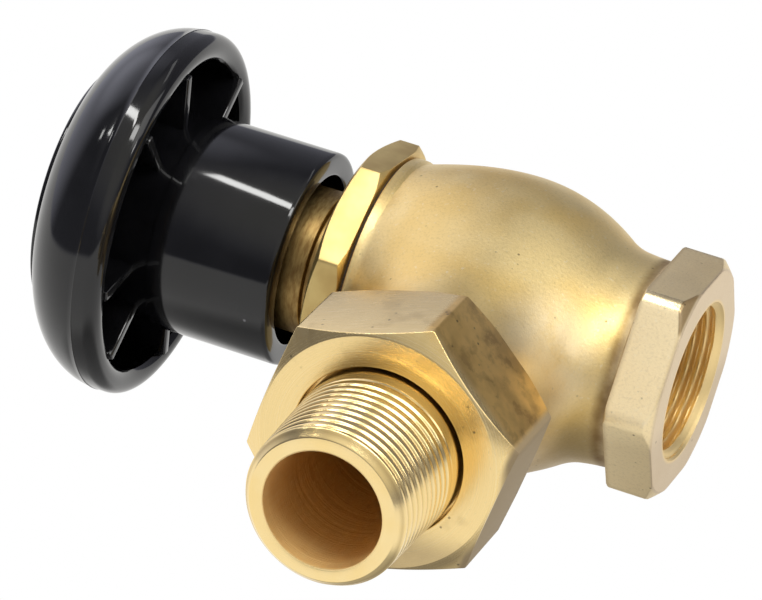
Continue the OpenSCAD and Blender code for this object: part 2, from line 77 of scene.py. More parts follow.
def rounded(points, steps=3):
    """Rounds the corners of a closed outline. A corner is (radius, height) or (radius, height, fillet)."""
    out = []
    count = len(points)
    for i, corner in enumerate(points):
        here = np.array(corner[:2], float)
        if len(corner) < 3:
            out.append(here)
            continue
        before = np.array(points[i - 1][:2], float) - here
        after = np.array(points[(i + 1) % count][:2], float) - here
        lb, la = np.hypot(*before), np.hypot(*after)
        ub, ua = before / max(lb, 1e-9), after / max(la, 1e-9)
        half = 0.5 * math.acos(max(-1.0, min(1.0, float(ub @ ua))))
        reach = min(corner[2] / max(math.tan(half), 1e-6), 0.46 * lb, 0.46 * la)
        a, b = here + ub * reach, here + ua * reach
        for s in np.linspace(0.0, 1.0, steps + 1):
            out.append((1 - s) ** 2 * a + 2 * s * (1 - s) * here + s * s * b)
    return out


def arc(centre, radius, start, end, steps=10, tall=None):
    """Points of an arc, or of a part of an ellipse where tall gives its other radius."""
    angles = np.radians(np.linspace(start, end, steps + 1))
    tall = radius if tall is None else tall
    return [(centre[0] + radius * math.cos(t), centre[1] + tall * math.sin(t)) for t in angles]


def polygon_radius(angle, flats, sides, edge):
    """Distance from the axis to a prism's side at an angle from a corner, with its edges rounded."""
    sector = 2 * math.pi / sides
    off = (angle + sector / 2) % sector - sector / 2
    inner = flats / 2 - edge
    middle = inner / math.cos(sector / 2)
    reach = edge * math.sin(sector / 2)
    touch = math.atan2(reach, middle + edge * math.cos(sector / 2))
    if abs(off) <= touch:
        return middle * math.cos(off) + math.sqrt(max(edge ** 2 - (middle * math.sin(off)) ** 2, 0.0))
    return flats / 2 / math.cos(sector / 2 - abs(off))


def polygon_angles(sides, turn, steps=22):
    """Angles round a prism, closer together near its corners. turn is one corner's angle in degrees."""
    sector = 2 * math.pi / sides
    ease = [0.5 - 0.5 * math.cos(math.pi * i / steps) for i in range(steps)]
    return [math.radians(turn) + sector * (k + e) for k in range(sides) for e in ease]


def round_angles(steps=160):
    return [2 * math.pi * i / steps for i in range(steps)]


def ridge(phase, crest=0.16, root=0.2):
    """Height of a thread's ridge, from 0 at its root to 1 at its crest, over one turn of phase."""
    t = abs((phase % 1.0) * 2 - 1)
    lift = min(max((t - root) / (1 - root - crest), 0.0), 1.0)
    return lift * lift * (3 - 2 * lift) * 0.45 + lift * 0.55


# Meshes


def place(axis):
    """Turns a solid drawn about +Z in millimetres onto the stem or the outlet axis, in metres."""
    lift = Matrix.Translation((0, 0, CENTRE * MM))
    turn = Matrix.Rotation(math.pi / 2, 4, "Y") if axis == "outlet" else Matrix.Identity(4)
    return lift @ turn @ Matrix.Scale(MM, 4)


def new_mesh(name, vertices, faces, axis="stem"):
    """A mesh object from points in millimetres."""
    mesh = bpy.data.meshes.new(name)
    mesh.from_pydata([tuple(map(float, v)) for v in vertices], [], faces)
    mesh.transform(place(axis))
    mesh.update()
    piece = bpy.data.objects.new(name, mesh)
    bpy.context.scene.collection.objects.link(piece)
    solid = bmesh.new()
    solid.from_mesh(mesh)
    bmesh.ops.remove_doubles(solid, verts=solid.verts, dist=1e-7)
    bmesh.ops.dissolve_degenerate(solid, edges=solid.edges, dist=1e-8)
    bmesh.ops.recalc_face_normals(solid, faces=solid.faces)
    solid.to_mesh(mesh)
    solid.free()
    return piece


def swept(name, outline, angles, axis="stem"):
    """A closed solid from an outline that may change with the angle. outline(angle) gives [radius, height] points."""
    rows = [outline(a) for a in angles]
    count = len(rows[0])
    vertices, faces = [], []
    for a, row in zip(angles, rows):
        ca, sa = math.cos(a), math.sin(a)
        vertices += [(p[0] * ca, p[0] * sa, p[1]) for p in row]
    total = len(angles)
    for i in range(total):
        j = (i + 1) % total
        for k in range(count):
            m = (k + 1) % count
            if rows[0][k][0] < 1e-6 and rows[0][m][0] < 1e-6:
                continue
            faces.append((i * count + k, j * count + k, j * count + m, i * count + m))
    return new_mesh(name, vertices, faces, axis)


def turned(name, outline, axis="stem", steps=160):
    """A round solid from one outline."""
    points = rounded(outline)
    return swept(name, lambda angle: points, round_angles(steps), axis)


def use_boolean(piece, other, operation):
    """Joins or cuts with a closed solid and removes it."""
    bpy.context.view_layer.objects.active = piece
    change = piece.modifiers.new("shape", "BOOLEAN")
    change.operation, change.object, change.solver = operation, other, "MANIFOLD"
    apply_modifiers(piece)
    bpy.data.objects.remove(other)


def apply_modifiers(piece):
    """Replaces a piece's mesh by what its modifiers make of it."""
    graph = bpy.context.evaluated_depsgraph_get()
    made = bpy.data.meshes.new_from_object(piece.evaluated_get(graph))
    old = piece.data
    piece.modifiers.clear()
    piece.data = made
    bpy.data.meshes.remove(old)


def joined(name, pieces):
    """One object from several."""
    solid = bmesh.new()
    for piece in pieces:
        solid.from_mesh(piece.data)
    mesh = bpy.data.meshes.new(name)
    solid.to_mesh(mesh)
    solid.free()
    for piece in pieces:
        bpy.data.objects.remove(piece)
    whole = bpy.data.objects.new(name, mesh)
    bpy.context.scene.collection.objects.link(whole)
    return whole


def smooth(piece, angle=32.0):
    """Smooth shading that keeps edges sharper than an angle."""
    solid = bmesh.new()
    solid.from_mesh(piece.data)
    limit = math.radians(angle)
    for face in solid.faces:
        face.smooth = True
    for edge in solid.edges:
        edge.smooth = len(edge.link_faces) == 2 and edge.calc_face_angle(0.0) < limit
    solid.to_mesh(piece.data)
    solid.free()


def finish_piece(piece, body, material, replaced, angle=32.0):
    """Gives a piece its shading, material, body and the CAD nodes that it stands for."""
    smooth(piece, angle)
    piece.data.materials.clear()
    piece.data.materials.append(material)
    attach(piece, body)
    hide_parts(*replaced)
    return piece


def rounded_box(name, low, high, edge, turn=0.0):
    """A block with rounded edges, turned about the stem."""
    solid = bmesh.new()
    bmesh.ops.create_cube(solid, size=1.0)
    low, high = Vector(low), Vector(high)
    for v in solid.verts:
        v.co = Vector(((low[i] + high[i]) / 2 + v.co[i] * (high[i] - low[i]) for i in range(3)))
    bmesh.ops.bevel(solid, geom=solid.edges[:], offset=edge, segments=3, profile=0.5, affect="EDGES")
    solid.transform(place("stem") @ Matrix.Rotation(turn, 4, "Z"))
    bmesh.ops.recalc_face_normals(solid, faces=solid.faces)
    mesh = bpy.data.meshes.new(name)
    solid.to_mesh(mesh)
    solid.free()
    piece = bpy.data.objects.new(name, mesh)
    bpy.context.scene.collection.objects.link(piece)
    return piece


# Shader helper


class Wire:
    """A node's output that can stand in a Python expression."""

    def __init__(self, book, socket):
        self.book, self.socket = book, socket

    def maths(self, operation, *values):
        node = self.book.node("ShaderNodeMath", {"operation": operation}, dict(enumerate(values)))
        return Wire(self.book, node.outputs[0])

    def __add__(self, other):
        return self.maths("ADD", self, other)

    def __radd__(self, other):
        return self.maths("ADD", other, self)

    def __sub__(self, other):
        return self.maths("SUBTRACT", self, other)

    def __rsub__(self, other):
        return self.maths("SUBTRACT", other, self)

    def __mul__(self, other):
        return self.maths("MULTIPLY", self, other)

    def __rmul__(self, other):
        return self.maths("MULTIPLY", other, self)

    def __truediv__(self, other):
        return self.maths("DIVIDE", self, other)

    def __pow__(self, other):
        return self.maths("POWER", self, other)

    def __abs__(self):
        return self.maths("ABSOLUTE", self)

    def root(self):
        return self.maths("SQRT", self)

    def band(self, low, high, start=0.0, end=1.0):
        """Eases from start to end as the value goes from low to high."""
        node = self.book.node(
            "ShaderNodeMapRange", {"interpolation_type": "SMOOTHSTEP"},
            {"Value": self, "From Min": low, "From Max": high, "To Min": start, "To Max": end})
        return Wire(self.book, node.outputs["Result"])


class Finish:
    """A node material, or the world, written as Python expressions."""

    def __init__(self, name, tree=None):
        self.material = None
        if tree is None:
            self.material = bpy.data.materials.new(name)
            self.material.use_nodes = True
            tree = self.material.node_tree
        tree.nodes.clear()
        self.tree = tree

    def node(self, kind, settings=None, inputs=None):
        """Adds a node: its settings first, then its sockets' values or links."""
        node = self.tree.nodes.new(kind)
        for key, value in (settings or {}).items():
            setattr(node, key, value)
        for key, value in (inputs or {}).items():
            if isinstance(key, int):
                socket = node.inputs[key]
            else:
                socket = next(s for s in node.inputs if key in (s.identifier, s.name) and s.enabled)
            if isinstance(value, Wire):
                self.tree.links.new(value.socket, socket)
            elif socket.type == "RGBA":
                socket.default_value = (*value[:3], 1.0)
            else:
                socket.default_value = value
        return node

    def wire(self, kind, settings=None, inputs=None, output=0):
        made = self.node(kind, settings, inputs)
        if isinstance(output, str):
            return Wire(self, next(s for s in made.outputs if output in (s.identifier, s.name) and s.enabled))
        return Wire(self, made.outputs[output])

    def blend(self, factor, first, second):
        """Mixes two colours."""
        return self.wire("ShaderNodeMix", {"data_type": "RGBA"},
                         {"Factor_Float": factor, "A_Color": first, "B_Color": second}, "Result_Color")

    def where(self):
        """The point on the piece, in millimetres from the valve's centre, as three values."""
        spot = self.wire("ShaderNodeTexCoord", output="Object")
        apart = self.node("ShaderNodeSeparateXYZ", inputs={0: spot})
        x, y, z = (Wire(self, apart.outputs[i]) for i in range(3))
        return spot, x * 1000.0, y * 1000.0, z * 1000.0 - CENTRE

    def point(self, x, y, z):
        return self.wire("ShaderNodeCombineXYZ", inputs={0: x, 1: y, 2: z})

    def noise(self, spot, scale, detail=3.0, rough=0.55):
        return self.wire("ShaderNodeTexNoise", None,
                         {"Vector": spot, "Scale": scale, "Detail": detail, "Roughness": rough})

    def cells(self, spot, scale, feature="F1", randomness=1.0):
        return self.wire("ShaderNodeTexVoronoi", {"feature": feature},
                         {"Vector": spot, "Scale": scale, "Randomness": randomness}, "Distance")

    def bump(self, height, distance, strength=1.0, normal=None):
        inputs = {"Height": height, "Distance": distance, "Strength": strength}
        if normal is not None:
            inputs["Normal"] = normal
        return self.wire("ShaderNodeBump", None, inputs)

    def surface(self, **inputs):
        """Ends the material in one Principled shader."""
        shader = self.node("ShaderNodeBsdfPrincipled", None,
                           {key.replace("_", " "): value for key, value in inputs.items()})
        self.node("ShaderNodeOutputMaterial", None, {"Surface": Wire(self, shader.outputs[0])})
        return self.material


# Materials


def cast_brass(look):
    """Blasted cast brass: fine grain, darker pits, pale rubbed areas, painted brown shade in the corners, beside the
    union nut, on the inlet's top flat and towards the table, and a painted pale highlight beside the nut.
    """
    f = Finish("cast_brass")
    spot, x, y, z = f.where()
    across = (y * y + z * z).root()
    grain = f.noise(spot, 1700.0, 4.0, 0.65)
    uneven = f.noise(spot, 210.0, 3.0)
    cloud = f.noise(spot, 60.0, 2.0)
    pits = f.cells(spot, 520.0).band(0.16, 0.05) * f.noise(spot, 170.0, 2.0).band(0.56, 0.68)
    # Painted shade: brown in the crease above the inlet hexagon, beside the union nut's rear, and on the upper side of
    # the inlet's front chamfer.
    corner = abs(z + 24.6).band(2.0, 0.2) * 1.1
    shade_beside_nut = abs(x - 35.4).band(3.2, 0.6) * across.band(19.5, 17.5)
    radius = (x * x + y * y).root()
    cone_shade = radius.band(18.9, 19.3) * (z - radius * 0.8).band(-48.4, -48.7) * y.band(6.0, 10.0) * x.band(0.0, 3.0)
    shade = (corner + shade_beside_nut * 0.8) * uneven.band(0.25, 0.7, 0.6, 1.0) + cone_shade
    hexagon = z.band(-24.0, -25.2)
    # Painted shade: the side toward the table darkens brown, as if in the valve's own shadow; on the inlet hexagon it
    # starts lower and stays weaker.
    lower = y * -1.0 - z * 0.148
    under = lower.band(-5.0, 9.0) * (1.0 - hexagon) + lower.band(6.0, 11.0) * hexagon * 0.35
    low = under * (uneven * 0.1 + 0.5)
    # Painted highlight: a pale frosted patch on the branch beside the union nut.
    frost_and_highlight = ((x - 24.0) ** 2 + (y - 9.0) ** 2 + (z + 15.0) ** 2).band(170.0, 10.0)
    frost_and_highlight = frost_and_highlight * f.noise(spot, 200.0, 4.0, 0.7).band(0.0, 0.6)
    bore = radius.band(14.2, 13.4) * z.band(-18.0, -19.0)
    colour = f.blend(cloud.band(0.35, 0.65), look.cast_colour, look.cast_pale)
    colour = f.blend(hexagon * 0.8, colour, look.hexagon_pale)
    colour = f.blend(f.noise(spot, 2300.0, 2.0).band(0.45, 0.75) * 0.12, colour, look.brown_stain_and_shade)
    colour = f.blend(f.noise(spot, 1500.0, 2.0).band(0.6, 0.8) * 0.35, colour, look.frost_and_highlight)
    colour = f.blend(z.band(-33.4, -33.8) * 0.7, colour, look.face_grey)
    # Painted shade: the inlet hexagon's top flat is darkened brown.
    colour = f.blend(y.band(17.7, 18.15) * hexagon * 0.22, colour, look.brown_stain_and_shade)
    colour = f.blend(shade * 0.75, colour, look.brown_stain_and_shade)
    colour = f.blend(low, colour, look.brown_stain_and_shade)
    colour = f.blend(pits * 0.8, colour, look.dark_stain)
    colour = f.blend(frost_and_highlight * 0.45, colour, look.frost_and_highlight)
    colour = f.blend(bore * 0.8, colour, look.turned_colour)
    edge = radius.band(20.3, 20.45) * hexagon * y.band(4.0, 8.0)
    rubbed = (x * 0.866 + y * 0.5).band(17.7, 18.15) * hexagon * z.band(-33.7, -32.9) * (1.0 - edge)
    rough = (0.37 + uneven * 0.12 + pits * 0.2 + shade * 0.1 + hexagon * 0.06) * (1.0 - edge * 0.45)
    height = grain * 1.0 + uneven * 0.4 - pits * 0.9
    return f.surface(Base_Color=colour, Metallic=1.0 - rubbed * 0.75, Roughness=rough,
                     Normal=f.bump(height * (1.0 - bore * 0.8), 0.00005, 0.75))


def milled_brass(look):
    """Milled and turned brass of the union nut, with dried stains on some of its flats, painted shade on the lower part
    of its face and on its lower flat, and a right flat darkened partly by stains and partly by painted shade.
    """
    f = Finish("nut_brass")
    spot, x, y, z = f.where()
    across = (y * y + z * z).root()
    turned_lines = f.noise(f.point(across * 2.2, x * 0.02, 0.0), 6.0, 3.0, 0.7)
    streak = f.noise(f.point(x * 1.4 + y * 0.9, z * 0.06 - y * 0.05, y * 0.05), 3.2, 4.0, 0.65)
    on_front = x.band(52.6, 53.6)
    lines = streak * (1.0 - on_front) + turned_lines * on_front
    cloud = f.noise(spot, 120.0, 3.0)
    speckle = f.noise(spot, 1500.0, 3.0, 0.7)
    blot = f.noise(spot, 330.0, 4.0, 0.62).band(0.5, 0.62)
    # The right flat: blotchy stains, and painted shade where the flat reflects a dark part of the room.
    right_flat = (z * -0.688 + y * 0.725).band(18.2, 19.4) * x.band(53.9, 50.5)
    stain_and_shade = right_flat * (streak * 0.3 + 0.46)
    mottle = right_flat * (blot * 0.22 + f.noise(spot, 150.0, 3.0).band(0.42, 0.68) * 0.4)
    # Painted shade: the lower flat is darkened tan, made rougher and less metallic.
    under_flat_shade = (z * -0.972 + y * -0.233).band(18.4, 19.6) * x.band(53.9, 52.9)
    other = cloud.band(0.56, 0.7) * 0.18
    # Painted shade: the lower part of the front face is darkened tan.
    lower_face_shade = on_front * (y * -1.0).band(9.0, 15.0) * (cloud * 0.4 + 0.45)
    spots = f.cells(spot, 420.0).band(0.14, 0.04) * cloud.band(0.5, 0.62)
    colour = f.blend(lines.band(0.3, 0.7), look.milled_colour, look.milled_pale)
    colour = f.blend(other, colour, look.brown_stain_and_shade)
    colour = f.blend(lower_face_shade, colour, look.shade_tan)
    colour = f.blend(stain_and_shade, colour, look.golden_stain_and_shade)
    colour = f.blend(mottle, colour, look.brown_stain_and_shade)
    colour = f.blend(under_flat_shade, colour, look.shade_tan)
    colour = f.blend(spots * 0.75, colour, look.dark_stain)
    rough = 0.17 + lines * 0.12 + stain_and_shade * 0.12 + speckle * 0.05 + under_flat_shade * 0.4
    height = lines * 1.0 + speckle * 0.35
    return f.surface(Base_Color=colour, Metallic=1.0 - under_flat_shade * 0.6, Roughness=rough,
                     Normal=f.bump(height, 0.00002, 0.6))


def turned_brass(look, name="turned_brass", about="stem"):
    """Brass turned on a lathe about the stem or the outlet."""
    f = Finish(name)
    spot, x, y, z = f.where()
    if about == "stem":
        radius, along = (x * x + y * y).root(), z
    else:
        radius, along = (y * y + z * z).root(), x
    lines = f.noise(f.point(radius * 2.0, along * 2.0, 0.0), 5.0, 3.0, 0.7)
    cloud = f.noise(spot, 140.0, 3.0)
    colour = f.blend(cloud.band(0.35, 0.7), look.turned_colour, look.milled_pale)
    colour = f.blend(f.noise(spot, 600.0, 3.0).band(0.58, 0.72) * 0.35, colour, look.brown_stain_and_shade)
    return f.surface(Base_Color=colour, Metallic=1.0, Roughness=0.20 + lines * 0.16,
                     Normal=f.bump(lines, 0.000012, 0.6))


def bonnet_brass(look):
    """Bonnet: duller octagon, and a neck darkened brown in streaks above the octagon."""
    f = Finish("bonnet_brass")
    spot, x, y, z = f.where()
    radius = (x * x + y * y).root()
    lines = f.noise(f.point(radius * 2.0, z * 2.0, 0.0), 5.0, 3.0, 0.7)
    cloud = f.noise(spot, 140.0, 3.0)
    # The neck above the octagon is darkened brown, in streaks.
    neck_band = z.band(27.2, 28.4)
    neck_streaks = f.noise(f.point(x * 0.3, y * 0.3, z * 1.2), 1.6, 3.0, 0.6)
    colour = f.blend(cloud.band(0.35, 0.7), look.bonnet_colour, look.bonnet_pale)
    colour = f.blend(neck_band * (neck_streaks.band(0.3, 0.7) * 0.35 + 0.55), colour, look.brown_stain_and_shade)
    return f.surface(Base_Color=colour, Metallic=1.0, Roughness=0.36 + lines * 0.14,
                     Normal=f.bump(lines, 0.000012, 0.6))


def thread_brass(look):
    """The tailpiece: bright cut thread with painted brown shade in its roots, pale ring at its end and a brown smooth
    bore.
    """
    f = Finish("tail_brass")
    spot, x, y, z = f.where()
    radius = (y * y + z * z).root()
    taper = 14.0 - (x - 55.5) * 0.034
    # Painted shade: brown in the roots of the thread.
    depth = (taper - radius).band(0.05, 0.4) * radius.band(12.4, 13.0)
    bore = radius.band(10.1, 9.85)
    cloud = f.noise(spot, 160.0, 3.0)
    drawn = f.noise(f.point(x * 0.10, y * 1.3, z * 1.3), 2.2, 4.0, 0.65)
    fine = f.noise(f.point(radius * 2.4, x * 1.2, 0.0), 6.0, 3.0, 0.7)
    colour = f.blend(cloud.band(0.35, 0.7), look.turned_colour, look.milled_pale)
    colour = f.blend(depth * 0.3, colour, look.brown_stain_and_shade)
    colour = f.blend(bore * (drawn.band(0.3, 0.7) * 0.3 + 0.7), colour, look.bore_brown)
    rings = f.noise(f.point(x * 1.6, radius * 0.2, 0.0), 3.0, 4.0, 0.7)
    rough = 0.16 + fine * 0.10 + bore * 0.36
    rubbed = f.bump(fine * 0.6 + drawn * bore, 0.000014, 0.6)
    return f.surface(Base_Color=colour, Metallic=1.0, Roughness=rough,
                     Normal=f.bump(rings * bore, 0.00019, 1.0, rubbed))


def black_plastic(look, name="black_plastic"):
    """Gloss black moulding with faint flow marks, hairline scratches and a little dust."""
    f = Finish(name)
    spot, x, y, z = f.where()
    haze = f.noise(spot, 90.0, 3.0)
    dust = f.cells(spot, 260.0).band(0.10, 0.03) * f.noise(spot, 80.0, 2.0).band(0.6, 0.68)
    hair = f.noise(f.point(x * 0.25 + y * 0.1, y * 3.0, z * 0.3), 3.0, 2.0, 0.8).band(0.68, 0.74) * 0.3
    colour = f.blend(haze.band(0.3, 0.75), look.plastic_colour, look.plastic_pale)
    colour = f.blend(dust, colour, (0.22, 0.22, 0.24))
    rough = 0.05 + haze * 0.06 + dust * 0.3 + hair * 0.12
    height = f.noise(spot, 120.0, 2.0)
    return f.surface(Base_Color=colour, Roughness=rough, IOR=1.5,
                     Normal=f.bump(height, 0.00006, 0.35))


def plain_finish(name, colour, pale, metal, rough, grain_scale, grain_depth):
    """A simple finish for a piece that sits inside the valve."""
    f = Finish(name)
    spot = f.wire("ShaderNodeTexCoord", output="Object")
    grain = f.noise(spot, grain_scale, 4.0, 0.6)
    return f.surface(Base_Color=f.blend(grain.band(0.3, 0.7), colour, pale), Metallic=metal,
                     Roughness=rough + grain * 0.12, Normal=f.bump(grain, grain_depth, 0.7))


MATERIALS = {}


def material(name, build):
    """Makes a material the first time that it is asked for."""
    if name not in MATERIALS:
        MATERIALS[name] = build()
    return MATERIALS[name]


# Settings


class VALVE_PG_sizes(PropertyGroup):
    """Sizes of the visible pieces"""

    inlet_flats: lengths(36.5, "Inlet across flats", "Width of the inlet hexagon")
    inlet_height: lengths(8.3, "Inlet height", "Height of the inlet hexagon")
    inlet_bevel: lengths(2.0, "Inlet edge width", "Width of the flattened edges of the inlet hexagon")
    inlet_crest: lengths(12.1, "Inlet thread crest", "Radius of the inlet thread at its crests")
    thread_pitch: lengths(1.814, "Pipe thread pitch", "Travel of one turn of the pipe threads")
    neck: lengths(17.6, "Neck radius", "Radius of the neck above the inlet")
    barrel: lengths(23.5, "Barrel radius", "Largest radius of the barrel")
    collar: lengths(21.5, "Collar radius", "Radius of the collar under the bonnet")
    branch: lengths(17.4, "Branch radius", "Radius of the outlet branch")
    branch_blend: lengths(13.0, "Branch blend", "How softly the branch flows into the barrel")
    nut_flats: lengths(40.2, "Nut across flats", "Width of the union nut")
    tail_shank: lengths(14.0, "Tail radius", "Radius of the tailpiece where it leaves the nut")
    tail_bore: lengths(9.8, "Tail bore", "Inner radius of the tailpiece")
    thread_depth: lengths(0.34, "Tail thread depth", "Depth of the thread on the tailpiece")
    bonnet_flats: lengths(43.4, "Bonnet across flats", "Width of the eight-sided bonnet")
    wheel: lengths(31.4, "Wheel radius", "Outer radius of the handwheel")
    sleeve: lengths(18.4, "Sleeve radius", "Outer radius of the handwheel's sleeve")
    sleeve_bore: lengths(14.6, "Sleeve bore", "Inner radius of the handwheel's sleeve")
    cap: lengths(21.6, "Cap radius", "Radius of the handwheel's front cap")
    rib: lengths(1.6, "Rib thickness", "Thickness of a rib behind the wheel")


def colours(default, name, about):
    """A colour that the user can change."""
    return FloatVectorProperty(name=name, description=about, default=default, size=3, min=0.0, max=1.0,
                               subtype="COLOR")


class VALVE_PG_finishes(PropertyGroup):
    """Colours of the finishes"""

    cast_colour: colours((0.85, 0.61, 0.23), "Cast brass", "Main colour of the blasted casting")
    cast_pale: colours((0.91, 0.71, 0.34), "Cast brass, pale", "Colour of the casting's paler clouds")
    milled_colour: colours((0.90, 0.67, 0.30), "Milled brass", "Main colour of the union nut")
    milled_pale: colours((0.96, 0.75, 0.38), "Milled brass, pale", "Colour of the brighter tool lines")
    hexagon_pale: colours((1.0, 0.84, 0.54), "Inlet flats", "Colour of the inlet hexagon's rough flats")
    face_grey: colours((0.74, 0.60, 0.44), "Inlet face", "Colour of the inlet's greyish end face")
    # Pale frost speckle, and also the colour of a painted highlight patch on the branch beside the union nut.
    frost_and_highlight: colours((0.97, 0.88, 0.68), "Frosted patch", "Colour of the blasted patch beside the union nut")
    turned_colour: colours((0.95, 0.72, 0.33), "Turned brass", "Main colour of turned brass")
    # Golden stain, also used as painted shade on the union nut's right flat.
    golden_stain_and_shade: colours((0.76, 0.44, 0.08), "Golden stain", "Colour of the dried film on a flat of the union nut")
    # Painted shade: tan for the lower part of the union nut's face and for its lower flat.
    shade_tan: colours((0.36, 0.27, 0.15), "Worn tan", "Colour of the dull part of the union nut's face")
    # Brown for real stains, and also for painted shade in the casting's corners, on its top flat and underside, and in
    # the tailpiece's thread roots.
    brown_stain_and_shade: colours((0.20, 0.11, 0.035), "Brown stain", "Colour of dried stains and shaded corners")
    dark_stain: colours((0.07, 0.05, 0.03), "Dark pits", "Colour of pits and specks")
    bonnet_colour: colours((0.66, 0.47, 0.18), "Bonnet brass", "Main colour of the bonnet's octagon")
    bonnet_pale: colours((0.80, 0.61, 0.25), "Bonnet brass, pale", "Colour of the octagon's paler clouds")
    bore_brown: colours((0.93, 0.63, 0.26), "Bore", "Colour of the tailpiece's smooth bore")
    plastic_colour: colours((0.003, 0.003, 0.0035), "Black plastic", "Colour of the handwheel")
    plastic_pale: colours((0.007, 0.007, 0.008), "Black plastic, hazy", "Colour of the handwheel's flow marks")


# Pieces


def barrel_radius(z, size):
    """Outer radius of the barrel at a height above the valve's centre."""
    widest, sweep, blend = 1.0, 34.0, 7.0
    low_r = size.barrel - sweep
    blend_r = size.neck + blend
    blend_z = widest - math.sqrt((sweep + blend) ** 2 - (blend_r - low_r) ** 2)
    meet = blend_z + (widest - blend_z) * blend / (sweep + blend)
    edge_r, edge_z = size.collar - 0.6, 19.4
    top = ((size.barrel - edge_r) ** 2 + (edge_z - widest) ** 2) / (2 * (size.barrel - edge_r))
    out = np.full_like(z, size.neck)
    hollow = (z > blend_z) & (z <= meet)
    out[hollow] = blend_r - np.sqrt(blend ** 2 - (z[hollow] - blend_z) ** 2)
    full = (z > meet) & (z <= widest)
    out[full] = low_r + np.sqrt(sweep ** 2 - (z[full] - widest) ** 2)
    upper = (z > widest) & (z <= edge_z)
    out[upper] = size.barrel - top + np.sqrt(top ** 2 - (z[upper] - widest) ** 2)
    out[z > edge_z] = edge_r
    return out


def casting_skin(size):
    """Barrel and outlet branch as one flowing surface, found along rays from the valve's centre."""
    around, down = 232, 176
    azimuth = np.linspace(0, 2 * np.pi, around, endpoint=False)
    polar = np.linspace(0.02, np.pi - 0.02, down)
    ph, th = np.meshgrid(azimuth, polar, indexing="ij")
    ray = np.stack([np.sin(th) * np.cos(ph), np.sin(th) * np.sin(ph), np.cos(th)], -1)

    def outside(reach):
        p = ray * reach[..., None]
        x, y, z = p[..., 0], p[..., 1], p[..., 2]
        barrel = np.hypot(x, y) - barrel_radius(z, size)
        along = np.clip(x, 0.0, 60.0)
        pipe = np.sqrt((x - along) ** 2 + y ** 2 + z ** 2) - size.branch
        h = np.clip(0.5 + 0.5 * (pipe - barrel) / size.branch_blend, 0, 1)
        both = pipe * (1 - h) + barrel * h - size.branch_blend * h * (1 - h)
        return np.maximum(np.maximum(both, np.abs(z) - 29.0), x - 40.0)

    near, far = np.zeros_like(th), np.full_like(th, 60.0)
    for _ in range(34):
        middle = (near + far) / 2
        out = outside(middle) > 0
        far[out], near[~out] = middle[out], middle[~out]
    points = ray * near[..., None]
    vertices = [tuple(p) for p in points.reshape(-1, 3)]
    faces = [(i * down + k, i * down + k + 1, (i + 1) % around * down + k + 1, (i + 1) % around * down + k)
             for i in range(around) for k in range(down - 1)]
    for k, z in ((0, 29.0), (down - 1, -29.0)):
        vertices.append((0, 0, z))
        hub = len(vertices) - 1
        for i in range(around):
            a, b = i * down + k, (i + 1) % around * down + k
            faces.append((hub, a, b) if k == 0 else (hub, b, a))
    return new_mesh("skin", vertices, faces)


def slab(name, low, high, reach=60.0):
    """A wide round block between two heights."""
    return turned(name, [(0, low), (reach, low), (reach, high), (0, high)], steps=48)


